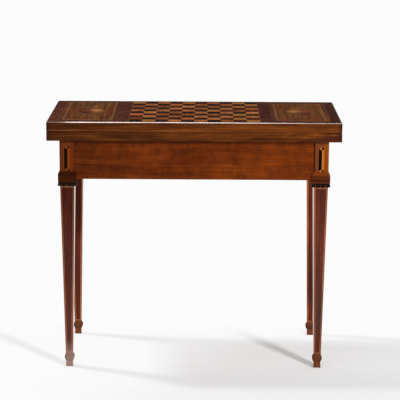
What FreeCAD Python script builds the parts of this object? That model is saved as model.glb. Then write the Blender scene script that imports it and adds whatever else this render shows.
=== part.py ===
import FreeCAD, Part
import math
import os
import re

# Fold-over games table: two equal leaves hinged along the back edge, a frame with two fixed front
# legs, and two back legs that swing out on fly rails to carry the opened leaf.
# +Z is up, the front faces -Y, and the origin is on the floor under the middle of the closed table.

SIZES = {
    # leaves
    "leaf_width": 870,
    "leaf_depth": 418,
    "leaf_thickness": 28.4,
    "seam_gap": 0.4,
    "table_height": 756,
    "lipping": 4,
    "arris_radius": 2.6,
    "seam_radius": 2.2,
    "veneer": 1.5,
    # show side of the upper leaf
    "board_margin": 15.25,
    "board_line": 1.6,
    "crossband": 30,
    "board_band": 35,
    "border": 13,
    "panel_line": 4.5,
    "medallion_width": 84,
    "medallion_length": 116,
    "medallion_rim": 5,
    "petal_length": 25,
    "petal_width": 9,
    "petal_reach": 21,
    "eye_radius": 6,
    "husk_length": 24,
    "husk_width": 13,
    "husk_gap": 2.5,
    # inner sides of both leaves
    "inner_band": 45,
    "baize": 1,
    # hinges of the leaves
    "hinge_spread": 300,
    "hinge_length": 60,
    "hinge_width": 24,
    "hinge_plate": 2,
    "hinge_setback": 0.25,
    "barrel_radius": 3.5,
    "barrel_room": 0.5,
    "barrel_play": 0.4,
    "hinge_pin_radius": 1.5,
    "running_play": 0.05,
    "hinge_screw_radius": 1.6,
    "hinge_screw_head": 3.2,
    "hinge_screw_length": 16,
    "hinge_screw_pitch": 20,
    # frame
    "side_overhang": 37,
    "front_overhang": 13,
    "back_overhang": 13,
    "rail_height": 116,
    "rail_thickness": 22,
    "rail_setback": 1.5,
    "rail_veneer": 1.5,
    "inner_back_thickness": 20,
    "housing": 8,
    "tenon_length": 20,
    "tenon_thickness": 10,
    "tenon_shoulder": 12,
    # legs
    "leg_block": 44,
    "shaft_top_width": 42.6,
    "ankle_top": 39,
    "ankle_top_width": 21.8,
    "ankle_base": 19,
    "ankle_base_width": 20.4,
    "foot_width": 21.6,
    "ankle_swell": 29.6,
    "ankle_lip": 0.4,
    "ankle_cant": 1.5,
    "collar_drop": 8.8,
    "collar_fascia": 24,
    "collar_slope": 10,
    "collar_reach": 5,
    "gutta_height": 11.5,
    "gutta_pitch": 15.5,
    "gutta_base_radius": 5,
    "gutta_neck_radius": 3.2,
    # inlays of the legs
    "inlay_depth": 1,
    "line_inset": 3,
    "line_width": 1.6,
    "line_drop": 3.5,
    "line_rise": 7,
    "flute_drop": 21.8,
    "flute_rise": 3,
    "flute_width": 22,
    "flute_shadow": 9.4,
    "flute_shift": 3,
    "flute_notch": 5,
    "lozenge_length": 10,
    "lozenge_width": 13,
    "lozenge_point": 0.6,
    "lozenge_gap": 1.2,
    # fly rails
    "knuckle_spread": 105,
    "fly_thickness": 28,
    "fly_gap": 0.6,
    "knuckle_pin_radius": 4,
    # fixings
    "fixing_block": 24,
    "fixing_block_length": 50,
    "fixing_screw_radius": 2.25,
    "fixing_screw_head": 4.2,
    "fixing_screw_length": 40,
    "front_fixing_spread": 190,
    "back_fixing_spread": 230,
    "rail_screw_spread": 45,
    "rail_screw_length": 38,
}

# Places worked out from the sizes.
LAYOUT = {
    "axle_reach": "hinge_setback + barrel_radius",
    "leaf_front": "-(leaf_depth + axle_reach) / 2",
    "leaf_back": "leaf_front + leaf_depth",
    "leaf_middle": "leaf_front + leaf_depth / 2",
    "leaf_side": "leaf_width / 2",
    "hinge_axis": "leaf_back + hinge_setback",
    "upper_base": "table_height - leaf_thickness",
    "seam": "upper_base - seam_gap / 2",
    "lower_face": "upper_base - seam_gap",
    "frame_top": "lower_face - leaf_thickness",
    "show_base": "table_height - veneer",
    "board_side": "leaf_depth / 2 - board_margin",
    "board_square": "2 * board_side / board_count",
    "board_edge": "board_side + board_line",
    "band_edge": "board_edge + board_band",
    "panel_side": "leaf_side - crossband",
    "panel_depth": "leaf_depth / 2 - crossband",
    "panel_middle": "(band_edge + panel_side) / 2",
    "leg_half": "leg_block / 2",
    "frame_side": "leaf_side - side_overhang",
    "leg_side": "frame_side - leg_half",
    "front_leg": "leaf_front + front_overhang + leg_half",
    "rear_leg": "leaf_back - back_overhang - leg_half",
    "rail_base": "frame_top - rail_height",
    "apron_front": "front_leg - leg_half + rail_setback",
    "apron_side": "frame_side - rail_setback",
    "rail_front": "apron_front + rail_veneer",
    "rail_side": "apron_side - rail_veneer",
    "rail_stop": "rear_leg - leg_half - fly_gap",
    "inner_back": "rail_stop - inner_back_thickness",
    "fly_top": "frame_top - fly_gap",
    "fly_half": "fly_thickness / 2",
    "fly_middle": "rail_stop + fly_gap + fly_half",
    "knuckle_height": "(fly_top - rail_base) / knuckle_count",
    "tenon_half": "tenon_thickness / 2",
    "shaft_half": "shaft_top_width / 2",
    "shaft_base_half": "ankle_top_width / 2",
    "ankle_neck": "shaft_base_half + ankle_lip",
    "line_run": "line_inset + line_width",
    "collar_side": "leg_half + collar_reach",
    "collar_base": "rail_base - collar_drop",
    "collar_shoulder": "collar_base + collar_fascia",
    "shaft_top": "collar_base - gutta_height",
    "line_top": "shaft_top - line_drop",
    "line_base": "ankle_top + line_rise",
    "collar_top": "collar_shoulder + collar_slope",
    "flute_length": "frame_top - flute_drop - collar_top - flute_rise",
    "flute_middle": "frame_top - flute_drop - flute_length / 2",
}

COUNTS = {
    "board_count": 10,
    "knuckle_count": 5,
    "hinge_knuckle_count": 5,
    "gutta_count": 4,
    "petal_count": 12,
    "husk_count": 2,
    "ankle_steps": 6,
}

HUSK_TURN = 25

X = FreeCAD.Vector(1, 0, 0)
Y = FreeCAD.Vector(0, 1, 0)
Z = FreeCAD.Vector(0, 0, 1)
UPRIGHT = FreeCAD.Rotation()
UPSIDE_DOWN = FreeCAD.Rotation(X, 180)
ALONG_X = FreeCAD.Rotation(Y, 90)
ALONG_Y = FreeCAD.Rotation(X, -90)
STANDING = FreeCAD.Rotation(X, 90)
DIAGONAL = FreeCAD.Rotation(Z, 45)

document = FreeCAD.newDocument("GamesTable")
nodes = []
home = {name: "Sizes" for name in SIZES}
home.update({name: "Sizes" for name in COUNTS})
home.update({name: "Layout" for name in LAYOUT})


def formula(text):
    """An expression in which every size is read from the sheet that holds it."""
    def address(word):
        return f"{home[word[0]]}.{word[0]}" if word[0] in home else word[0]
    return re.sub(r"[a-z_]+", address, str(text))


def fill_sheet(name, cells):
    sheet = document.addObject("Spreadsheet::Sheet", name)
    for row, (alias, content) in enumerate(cells.items(), 1):
        sheet.set(f"A{row}", alias)
        sheet.set(f"B{row}", content)
        sheet.setAlias(f"B{row}", alias)
    document.recompute()
    return sheet


def make(kind, name, **sizes):
    """A primitive whose properties are bound to expressions."""
    solid = document.addObject(kind, name)
    for key, text in sizes.items():
        solid.setExpression(key, formula(text))
    return solid


def place(solid, x=0, y=0, z=0, turn=UPRIGHT):
    solid.Placement = FreeCAD.Placement(FreeCAD.Vector(), turn)
    for name, text in zip("xyz", (x, y, z)):
        solid.setExpression(f"Placement.Base.{name}", formula(text))
    return solid


def box(name, x, y, z):
    """A box between a low and a high expression on each axis."""
    lengths = [f"({high}) - ({low})" for low, high in (x, y, z)]
    solid = make("Part::Box", name, Length=lengths[0], Width=lengths[1], Height=lengths[2])
    return place(solid, x[0], y[0], z[0])


def rod(name, radius, length, x, y, z, turn=UPRIGHT):
    return place(make("Part::Cylinder", name, Radius=radius, Height=length), x, y, z, turn)


def cone(name, base, top, height, x, y, z, turn=UPRIGHT):
    solid = make("Part::Cone", name, Radius1=base, Radius2=top, Height=height)
    return place(solid, x, y, z, turn)


def taper(name, z, x, y, at, turn=UPRIGHT):
    """A four-sided post at a place; x and y give its half widths at its low and high ends."""
    solid = make("Part::Wedge", name, Ymin=z[0], Ymax=z[1],
                 Xmin=f"-({x[0]})", Xmax=x[0], X2min=f"-({x[1]})", X2max=x[1],
                 Zmin=f"-({y[0]})", Zmax=y[0], Z2min=f"-({y[1]})", Z2max=y[1])
    return place(solid, at[0], at[1], 0, turn.multiply(STANDING))


def fuse(name, solids):
    joined = document.addObject("Part::MultiFuse", name)
    joined.Shapes = solids
    return joined


def common(name, solids):
    shared = document.addObject("Part::MultiCommon", name)
    shared.Shapes = solids
    return shared


def group(name, solids):
    held = document.addObject("Part::Compound", name)
    held.Links = solids
    return held


def cut(name, base, tools):
    for number, tool in enumerate(tools):
        result = document.addObject("Part::Cut", f"{name}_{number}")
        result.Base = base
        result.Tool = tool
        base = result
    return base


def node(name, solid):
    """Marks a finished sub-part: its label names its node."""
    solid.Label = name
    nodes.append(solid)
    return solid


def sided(side, low, high):
    """A span to the right of the middle plane, or its mirror image to the left."""
    return (low, high) if side > 0 else (f"-({high})", f"-({low})")


def strips(name, x, y, z, across, along):
    """Four strips that frame a rectangle: across is the end strips' width, along the others'."""
    inner = (f"{y[0]} + {along}", f"{y[1]} - ({along})")
    return [
        box(f"{name}_front", x, (y[0], inner[0]), z),
        box(f"{name}_back", x, (inner[1], y[1]), z),
        box(f"{name}_left", (x[0], f"{x[0]} + {across}"), inner, z),
        box(f"{name}_right", (f"{x[1]} - ({across})", x[1]), inner, z),
    ]


SHOW = ("show_base", "table_height")
LEAF_X = ("-leaf_side", "leaf_side")
LEAF_Y = ("leaf_front", "leaf_back")
CORE_X = ("-(leaf_side - lipping)", "leaf_side - lipping")
CORE_Y = ("leaf_front + lipping", "leaf_back - lipping")
BOARD_X = ("-board_edge", "board_edge")
SIDES = {"left": -1, "right": 1}


# ---- hinges of the leaves ----

def hinge_screw(name, x, face, direction):
    """A countersunk screw sunk flush in a flap, its point away from the seam."""
    turn = UPRIGHT if direction > 0 else UPSIDE_DOWN
    y = "hinge_axis - (hinge_width + barrel_radius) / 2"
    head = cone(f"{name}_head", "hinge_screw_head", "hinge_screw_radius",
                "hinge_screw_head - hinge_screw_radius", x, y, face, turn)
    shank = rod(f"{name}_shank", "hinge_screw_radius", "hinge_screw_length", x, y, face, turn)
    return fuse(name, [head, shank])


def hinge_flap(name, x, face, direction, first):
    """A plate let into a leaf's inner face, with every second knuckle of the barrel."""
    pitch = "hinge_length / hinge_knuckle_count"
    clear = "hinge_axis - barrel_radius - barrel_room"
    skin = (face, f"{face} + hinge_plate") if direction > 0 else (f"{face} - hinge_plate", face)
    span = (f"{x} - hinge_length / 2", f"{x} + hinge_length / 2")
    pieces = [box(f"{name}_plate", span, ("hinge_axis - hinge_width", clear), skin)]
    for number in range(first, COUNTS["hinge_knuckle_count"], 2):
        start = f"{span[0]} + {number} * {pitch} + barrel_play / 2"
        end = f"{start} + {pitch} - barrel_play"
        pieces.append(box(f"{name}_tongue_{number}", (start, end), (clear, "hinge_axis"), skin))
        pieces.append(rod(f"{name}_knuckle_{number}", "barrel_radius", f"{pitch} - barrel_play",
                          start, "hinge_axis", "seam", ALONG_X))
    bore = rod(f"{name}_bore", "hinge_pin_radius + running_play", "hinge_length",
               span[0], "hinge_axis", "seam", ALONG_X)
    return cut(f"{name}_bored", fuse(name, pieces), [bore])


def hinge_side(leaf, face, direction, first):
    """The flaps and screws of one leaf, as nodes, and the cutter for their seats."""
    flaps = []
    screws = []
    barrels = []
    for side, sign in SIDES.items():
        middle = f"{sign} * hinge_spread"
        name = f"{leaf}_{side}"
        flaps.append(hinge_flap(f"{name}_flap", middle, face, direction, first))
        for step in (-1, 0, 1):
            at = f"{middle} + {step} * hinge_screw_pitch"
            screws.append(hinge_screw(f"{name}_screw_{step + 1}", at, face, direction))
        start = f"{middle} - hinge_length / 2 - barrel_room"
        barrels.append(rod(f"{name}_cove", "barrel_radius + barrel_room",
                           "hinge_length + 2 * barrel_room", start, "hinge_axis", "seam", ALONG_X))
    all_screws = node(f"hinge_{leaf}_screws", group(f"{leaf}_screws", screws))
    drilled = cut(f"{leaf}_flaps", group(f"{leaf}_blanks", flaps), [all_screws])
    all_flaps = node(f"hinge_{leaf}_flaps", drilled)
    return [all_flaps, all_screws, group(f"{leaf}_coves", barrels)]


def hinge_pins():
    pins = [rod(f"hinge_pin_{side}", "hinge_pin_radius", "hinge_length",
                f"{sign} * hinge_spread - hinge_length / 2", "hinge_axis", "seam", ALONG_X)
            for side, sign in SIDES.items()]
    node("hinge_pins", group("leaf_hinge_pins", pins))


# ---- leaves ----

def lipping(name, low, show_edges_up, seats):
    """A lipping round a leaf: eased edges, wider on the show side than at the seam."""
    body = document.addObject("PartDesign::Body", f"{name}_body")
    outline = body.newObject("PartDesign::AdditiveBox", f"{name}_outline")
    hollow = body.newObject("PartDesign::SubtractiveBox", f"{name}_hollow")
    for solid, inset in ((outline, "0"), (hollow, "lipping")):
        solid.setExpression("Length", formula(f"leaf_width - 2 * {inset}"))
        solid.setExpression("Width", formula(f"leaf_depth - 2 * {inset}"))
        solid.setExpression("Height", formula("leaf_thickness"))
        place(solid, f"-leaf_side + {inset}", f"leaf_front + {inset}", low)
    document.recompute()
    reach = outline.Shape.BoundBox
    finished = hollow
    for radius, upper in (("arris_radius", show_edges_up), ("seam_radius", not show_edges_up)):
        level = reach.ZMax if upper else reach.ZMin
        names = [f"Edge{number}" for number, edge in enumerate(finished.Shape.Edges, 1)
                 if outer_edge(edge, reach, level)]
        fillet = body.newObject("PartDesign::Fillet", f"{name}_{radius}")
        fillet.Base = (finished, names)
        fillet.setExpression("Radius", formula(radius))
        finished = fillet
        document.recompute()
    return cut(f"{name}_seated", body, seats)


def outer_edge(edge, reach, level):
    """Whether a straight edge runs along the outside of a box at one level."""
    box_of = edge.BoundBox
    flat = abs(box_of.ZMin - level) < 0.01 and abs(box_of.ZMax - level) < 0.01
    on_x = abs(box_of.XMin - reach.XMin) < 0.01 or abs(box_of.XMax - reach.XMax) < 0.01
    on_y = abs(box_of.YMin - reach.YMin) < 0.01 or abs(box_of.YMax - reach.YMax) < 0.01
    return flat and (on_x or on_y)


def inner_side(leaf, band_z, baize_z, seats):
    """The crossband and the baize of a leaf's inner face."""
    band = strips(f"{leaf}_band", CORE_X, CORE_Y, band_z, "inner_band", "inner_band")
    node(f"{leaf}_leaf_inner_band", cut(f"{leaf}_band_seated", group(f"{leaf}_band", band), seats))
    lining = box(f"{leaf}_baize", (f"{CORE_X[0]} + inner_band", f"{CORE_X[1]} - inner_band"),
                 (f"{CORE_Y[0]} + inner_band", f"{CORE_Y[1]} - inner_band"), baize_z)
    node(f"{leaf}_leaf_baize", lining)


def lower_leaf(fixings):
    seats = hinge_side("lower", "lower_face", -1, 0)
    inner_side("lower", ("lower_face - veneer", "lower_face"),
               ("lower_face - veneer", "lower_face - veneer + baize"), seats)
    core = box("lower_core", CORE_X, CORE_Y, ("frame_top", "lower_face - veneer"))
    node("lower_leaf_core", cut("lower_core_seated", core, seats + [fixings]))
    node("lower_leaf_lipping", lipping("lower_lipping", "frame_top", False, seats))


def upper_leaf():
    seats = hinge_side("upper", "upper_base", 1, 1)
    inner_side("upper", ("upper_base", "upper_base + veneer"),
               ("upper_base + veneer - baize", "upper_base + veneer"), seats)
    core = box("upper_core", CORE_X, CORE_Y, ("upper_base + veneer", "show_base"))
    node("upper_leaf_core", cut("upper_core_seated", core, seats))
    node("upper_leaf_lipping", lipping("upper_lipping", "upper_base", True, seats))


def board():
    """Dark and light squares, a dark one at the front left corner, with a fine line round them."""
    squares = {"dark": [], "light": []}
    for column in range(COUNTS["board_count"]):
        for row in range(COUNTS["board_count"]):
            tone = "light" if (column + row) % 2 else "dark"
            x = f"{column} * board_square - board_side"
            y = f"leaf_middle + {row} * board_square - board_side"
            square = box(f"{tone}_{column}_{row}", (x, f"{x} + board_square"),
                         (y, f"{y} + board_square"), SHOW)
            squares[tone].append(square)
    for tone, pieces in squares.items():
        node(f"board_{tone}_squares", group(f"{tone}_squares", pieces))
    line = strips("board_line", BOARD_X, ("leaf_middle - board_edge", "leaf_middle + board_edge"), SHOW,
                  "board_line", "board_line")
    node("board_stringing", group("board_lines", line))


def crossbanding():
    """Bands with the grain across: round the leaf's edge and on both sides of the board."""
    pieces = [
        box("board_front_band", BOARD_X, (CORE_Y[0], "leaf_middle - board_edge"), SHOW),
        box("board_back_band", BOARD_X, ("leaf_middle + board_edge", CORE_Y[1]), SHOW),
    ]
    depth = ("leaf_middle - panel_depth", "leaf_middle + panel_depth")
    for side, sign in SIDES.items():
        whole = sided(sign, "board_edge", "leaf_side - lipping")
        pieces += [
            box(f"{side}_front_band", whole, (CORE_Y[0], depth[0]), SHOW),
            box(f"{side}_back_band", whole, (depth[1], CORE_Y[1]), SHOW),
            box(f"{side}_board_band", sided(sign, "board_edge", "band_edge"), depth, SHOW),
            box(f"{side}_end_band", sided(sign, "panel_side", "leaf_side - lipping"), depth, SHOW),
        ]
    node("top_crossbanding", group("crossbands", pieces))


def petal(name, length, width, x, y, turn):
    """An almond-shaped inlay: the overlap of two discs, with its long axis turned from Y."""
    height = "veneer"
    radius = f"({length} * {length} + {width} * {width}) / (4 * {width})"
    half = f"({radius} - {width} / 2)"
    discs = []
    for sign in (-1, 1):
        disc = make("Part::Cylinder", f"{name}_arc_{sign + 1}", Radius=radius, Height=height)
        discs.append(place(disc, f"{sign} * {half}"))
    leaf = common(name, discs)
    return place(leaf, x, y, "show_base", FreeCAD.Rotation(Z, turn))


def oval(name, half_width, half_length, x, y):
    outline = make("Part::Ellipse", f"{name}_outline", MajorRadius=half_length, MinorRadius=half_width)
    place(outline, x, y, "show_base", FreeCAD.Rotation(Z, 90))
    solid = make("Part::Extrusion", name, LengthFwd="veneer")
    solid.Base = outline
    solid.DirMode = "Custom"
    solid.Dir = Z
    solid.Solid = True
    return solid


def ornament(side, sign):
    """An oval medallion with a rosette, and a husk spray beyond each end."""
    x = f"{sign} * panel_middle"
    ground = oval(f"{side}_oval", "medallion_width / 2", "medallion_length / 2", x, "leaf_middle")
    inside = oval(f"{side}_oval_inside", "medallion_width / 2 - medallion_rim",
                  "medallion_length / 2 - medallion_rim", x, "leaf_middle")
    petals = []
    for number in range(COUNTS["petal_count"]):
        turn = 360 / COUNTS["petal_count"] * number
        away = FreeCAD.Rotation(Z, turn).multVec(Y)
        petal_x = f"{x} + {away.x:.6f} * petal_reach"
        petal_y = f"leaf_middle + {away.y:.6f} * petal_reach"
        petals.append(petal(f"{side}_petal_{number}", "petal_length", "petal_width", petal_x, petal_y, turn))
    eye = rod(f"{side}_eye", "eye_radius", "veneer", x, "leaf_middle", "show_base")
    petals = cut(f"{side}_rosette", group(f"{side}_petals", petals), [eye])
    husks = []
    for end in (-1, 1):
        for number in range(COUNTS["husk_count"]):
            reach = (f"(medallion_length / 2 + husk_gap + husk_length / 2"
                     f" + {number} * (husk_length + husk_gap))")
            for step in (-1, 0, 1):
                husks.append(petal(f"{side}_husk_{end + 1}_{number}_{step + 1}", "husk_length",
                                   "husk_width / 2", f"{x} + {step} * husk_width",
                                   f"leaf_middle + {end} * {reach}", -HUSK_TURN * step * end))
    return {"ground": ground, "inside": inside, "petals": petals, "eye": eye,
            "husks": group(f"{side}_husks", husks)}


def panels():
    """Side panels: a brown border, a light line and a field with an ornament let into it."""
    found = {"border": [], "line": [], "field": [], "rim": [], "ground": [], "figure": []}
    for side, sign in SIDES.items():
        x = sided(sign, "band_edge", "panel_side")
        y = ("leaf_middle - panel_depth", "leaf_middle + panel_depth")
        found["border"] += strips(f"{side}_border", x, y, SHOW, "border", "border")
        x = (f"{x[0]} + border", f"{x[1]} - border")
        y = (f"{y[0]} + border", f"{y[1]} - border")
        found["line"] += strips(f"{side}_line", x, y, SHOW, "panel_line", "panel_line")
        x = (f"{x[0]} + panel_line", f"{x[1]} - panel_line")
        y = (f"{y[0]} + panel_line", f"{y[1]} - panel_line")
        inlay = ornament(side, sign)
        field = box(f"{side}_field", x, y, SHOW)
        found["field"].append(cut(f"{side}_field_let", field, [inlay["ground"], inlay["husks"]]))
        found["rim"].append(cut(f"{side}_rim", inlay["ground"], [inlay["inside"]]))
        found["ground"].append(cut(f"{side}_oval_let", inlay["inside"], [inlay["petals"], inlay["eye"]]))
        found["figure"] += [inlay["petals"], inlay["husks"]]
        found["rim"].append(inlay["eye"])
    names = {"border": "panel_borders", "line": "panel_stringing", "field": "panel_fields",
             "rim": "medallion_rims", "ground": "medallion_grounds", "figure": "medallion_petals"}
    for key, name in names.items():
        node(name, group(f"all_{key}", found[key]))


# ---- frame ----

def tenon(name, x, y):
    """A tongue with a shoulder below and above it."""
    return box(name, x, y, ("rail_base + tenon_shoulder", "frame_top - tenon_shoulder"))


def front_rail():
    """The front rail; its tenons enter both front legs."""
    y = ("rail_front", "rail_front + rail_thickness")
    middle = "rail_front + rail_thickness / 2"
    tongue = (f"{middle} - tenon_half", f"{middle} + tenon_half")
    inner = "leg_side - leg_half"
    tenons = {side: tenon(f"front_tenon_{side}", sided(sign, inner, f"{inner} + tenon_length"), tongue)
              for side, sign in SIDES.items()}
    bar = box("front_bar", (f"-({inner})", inner), y, ("rail_base", "frame_top"))
    node("front_rail", fuse("front_rail_solid", [bar] + list(tenons.values())))
    return tenons


def side_rail(side, sign):
    """A side rail, tenoned into its front leg and housing the inner back rail."""
    x = sided(sign, "rail_side - rail_thickness", "rail_side")
    start = "front_leg + leg_half"
    middle = "rail_side - rail_thickness / 2"
    tongue = tenon(f"{side}_side_tenon", sided(sign, f"{middle} - tenon_half", f"{middle} + tenon_half"),
                   (f"{start} - tenon_length", start))
    bar = box(f"{side}_bar", x, (start, "rail_stop"), ("rail_base", "frame_top"))
    return tongue, fuse(f"{side}_rail_solid", [bar, tongue])


def inner_back_rail():
    """The fixed back rail inside the fly rails, with a tongue housed in each side rail."""
    inner = "rail_side - rail_thickness"
    y = ("inner_back", "rail_stop")
    middle = "inner_back + inner_back_thickness / 2"
    bar = box("inner_back_bar", (f"-({inner})", inner), y, ("rail_base", "frame_top"))
    tongues = [tenon(f"housed_tongue_{side}", sided(sign, inner, f"{inner} + housing"),
                     (f"{middle} - tenon_half", f"{middle} + tenon_half"))
               for side, sign in SIDES.items()]
    return fuse("inner_back_solid", [bar] + tongues)


def apron_veneers():
    """Facing veneers on the outer sides of the front and side rails."""
    z = ("rail_base", "frame_top")
    inner = "leg_side - leg_half"
    pieces = [box("front_veneer", (f"-({inner})", inner), ("apron_front", "rail_front"), z)]
    for side, sign in SIDES.items():
        pieces.append(box(f"{side}_veneer", sided(sign, "rail_side", "apron_side"),
                          ("front_leg + leg_half", "rail_stop"), z))
    node("apron_veneers", group("facing_veneers", pieces))


def knuckle(name, sign, number, root):
    """One wooden knuckle about a fly rail's pin, reaching from it to the rail's shoulder."""
    low = f"rail_base + {number} * knuckle_height + fly_gap / 2"
    high = f"rail_base + {number + 1} * knuckle_height - fly_gap / 2"
    if number == 0:
        low = "rail_base"
    if number == COUNTS["knuckle_count"] - 1:
        high = "frame_top"
    span = sided(sign, *root)
    arm = box(f"{name}_arm", span, ("fly_middle - fly_half", "fly_middle + fly_half"), (low, high))
    nose = rod(f"{name}_nose", "fly_half", f"({high}) - ({low})", f"{sign} * knuckle_spread",
               "fly_middle", low)
    return [arm, nose]


def knuckle_bore(name, sign):
    return rod(name, "knuckle_pin_radius + running_play", "rail_height", f"{sign} * knuckle_spread",
               "fly_middle", "rail_base")


def centre_back_rail():
    """The fixed middle of the outer back rail, with knuckles at both ends."""
    shoulder = "knuckle_spread - fly_half - fly_gap"
    pieces = [box("centre_bar", (f"-({shoulder})", shoulder), ("rail_stop", "fly_middle + fly_half"),
                  ("rail_base", "frame_top"))]
    for side, sign in SIDES.items():
        for number in range(0, COUNTS["knuckle_count"], 2):
            pieces += knuckle(f"centre_{side}_{number}", sign, number, (shoulder, "knuckle_spread"))
    bores = [knuckle_bore(f"centre_{side}_bore", sign) for side, sign in SIDES.items()]
    return cut("centre_back_bored", fuse("centre_back_solid", pieces), bores)


def fly_rail(side, sign):
    """A swinging rail: knuckles at one end, a tenon into its back leg at the other."""
    shoulder = "knuckle_spread + fly_half + fly_gap"
    end = "leg_side - leg_half"
    pieces = [box(f"{side}_fly_bar", sided(sign, shoulder, end),
                  ("fly_middle - fly_half", "fly_middle + fly_half"), ("rail_base", "fly_top"))]
    for number in range(1, COUNTS["knuckle_count"], 2):
        pieces += knuckle(f"{side}_fly_{number}", sign, number, ("knuckle_spread", shoulder))
    tongue = tenon(f"{side}_fly_tenon", sided(sign, end, f"{end} + tenon_length"),
                   ("fly_middle - tenon_half", "fly_middle + tenon_half"))
    solid = cut(f"{side}_fly_bored", fuse(f"{side}_fly_solid", pieces + [tongue]),
                [knuckle_bore(f"{side}_fly_bore", sign)])
    node(f"rear_{side}_fly_rail", solid)
    return tongue


def knuckle_pins():
    pins = [rod(f"knuckle_pin_{side}", "knuckle_pin_radius", "rail_height - fly_gap",
                f"{sign} * knuckle_spread", "fly_middle", "rail_base")
            for side, sign in SIDES.items()]
    node("knuckle_pins", group("fly_pins", pins))


# ---- fixings ----

def fixing_screw(name, x, y):
    """A screw driven up through a fixing block into the lower leaf."""
    z = "frame_top - fixing_block"
    head = cone(f"{name}_head", "fixing_screw_head", "fixing_screw_radius",
                "fixing_screw_head - fixing_screw_radius", x, y, z)
    shank = rod(f"{name}_shank", "fixing_screw_radius", "fixing_screw_length", x, y, z)
    return fuse(name, [head, shank])


def fixings():
    """Blocks in the angle between the rails and the lower leaf, each with a screw."""
    z = ("frame_top - fixing_block", "frame_top")
    half = "fixing_block_length / 2"
    front = "rail_front + rail_thickness"
    inner = "rail_side - rail_thickness"
    middle = "(front_leg + rear_leg) / 2"
    blocks = []
    screws = []
    for side, sign in SIDES.items():
        at = f"{sign} * front_fixing_spread"
        blocks.append(box(f"front_block_{side}", (f"{at} - {half}", f"{at} + {half}"),
                          (front, f"{front} + fixing_block"), z))
        screws.append(fixing_screw(f"front_screw_{side}", at, f"{front} + fixing_block / 2"))
        at = f"{sign} * back_fixing_spread"
        blocks.append(box(f"back_block_{side}", (f"{at} - {half}", f"{at} + {half}"),
                          ("inner_back - fixing_block", "inner_back"), z))
        screws.append(fixing_screw(f"back_screw_{side}", at, "inner_back - fixing_block / 2"))
        blocks.append(box(f"side_block_{side}", sided(sign, f"{inner} - fixing_block", inner),
                          (f"{middle} - {half}", f"{middle} + {half}"), z))
        screws.append(fixing_screw(f"side_screw_{side}", f"{sign} * ({inner} - fixing_block / 2)", middle))
    all_screws = node("fixing_screws", group("top_screws", screws))
    node("fixing_blocks", cut("blocks_drilled", group("blocks", blocks), [all_screws]))
    return all_screws


def rail_screws():
    """Screws from inside the frame that hold the centre back rail to the inner back rail."""
    screws = []
    for side, sign in SIDES.items():
        for row, height in enumerate(("rail_height / 4", "rail_height * 3 / 4")):
            x = f"{sign} * rail_screw_spread"
            z = f"rail_base + {height}"
            name = f"rail_screw_{side}_{row}"
            head = cone(f"{name}_head", "fixing_screw_head", "fixing_screw_radius",
                        "fixing_screw_head - fixing_screw_radius", x, "inner_back", z, ALONG_Y)
            shank = rod(f"{name}_shank", "fixing_screw_radius", "rail_screw_length",
                        x, "inner_back", z, ALONG_Y)
            screws.append(fuse(name, [head, shank]))
    return node("rail_screws", group("back_rail_screws", screws))


# ---- legs ----

def shaft_taper(name, inset, x_side, y_side, at):
    """The shaft's taper with its faces moved in by an inset, or left wide where a side is False."""
    narrow = (f"shaft_base_half - ({inset})", f"shaft_half - ({inset})")
    wide = ("leg_half", "leg_half")
    x = narrow if x_side else wide
    y = narrow if y_side else wide
    return taper(name, ("ankle_top", "shaft_top"), x, y, at)


def shaft_inlays(name, at):
    """Light lines round a darker strip on each face of the tapered shaft."""
    skin = cut(f"{name}_skin", shaft_taper(f"{name}_outside", "0", True, True, at),
               [shaft_taper(f"{name}_inside", "inlay_depth", True, True, at)])
    zones = {}
    limits = (
        ("outer", "line_inset", "line_base", "line_top"),
        ("inner", "line_run", "line_base + line_width", "line_top - line_width"),
    )
    for key, inset, low, high in limits:
        cross = fuse(f"{name}_{key}_cross", [shaft_taper(f"{name}_{key}_x", inset, True, False, at),
                                             shaft_taper(f"{name}_{key}_y", inset, False, True, at)])
        level = box(f"{name}_{key}_level", (f"{at[0]} - leg_half", f"{at[0]} + leg_half"),
                    (f"{at[1]} - leg_half", f"{at[1]} + leg_half"), (low, high))
        zones[key] = common(f"{name}_{key}_zone", [skin, cross, level])
    lines = cut(f"{name}_lines", zones["outer"], [zones["inner"]])
    return lines, zones["inner"]


def flute_strip(name, u, v, height, turn, at):
    """A flat trapezium let into a block face: v gives its half heights at both ends of u."""
    solid = make("Part::Wedge", name, Ymin=u[0], Ymax=u[1], Xmin=f"-({v[0]})", Xmax=v[0],
                 X2min=f"-({v[1]})", X2max=v[1], Zmin="leg_half - inlay_depth", Zmax="leg_half",
                 Z2min="leg_half - inlay_depth", Z2max="leg_half")
    return place(solid, at[0], at[1], height, turn)


def flute(name, turn, at):
    """A sham flute: a dark and a light strip with notched ends, and a half dark lozenge at each."""
    half = "flute_length / 2"
    start = "flute_shift - flute_width / 2"
    split = f"{start} + flute_shadow"
    low = f"{half} - flute_notch"
    dark = [flute_strip(f"{name}_shadow", (start, split), (half, low), "flute_middle", turn, at)]
    light = [flute_strip(f"{name}_light", (split, f"{start} + flute_width"), (low, half), "flute_middle",
                         turn, at)]
    for end in (-1, 1):
        level = f"flute_middle + {end} * ({half} + lozenge_gap)"
        light.append(flute_strip(f"{name}_tip_light_{end + 1}", (f"{split} - lozenge_width / 2", split),
                                 ("lozenge_point", "lozenge_length / 2"), level, turn, at))
        dark.append(flute_strip(f"{name}_tip_dark_{end + 1}", (split, f"{split} + lozenge_width / 2"),
                                ("lozenge_length / 2", "lozenge_point"), level, turn, at))
    return dark, light


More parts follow.
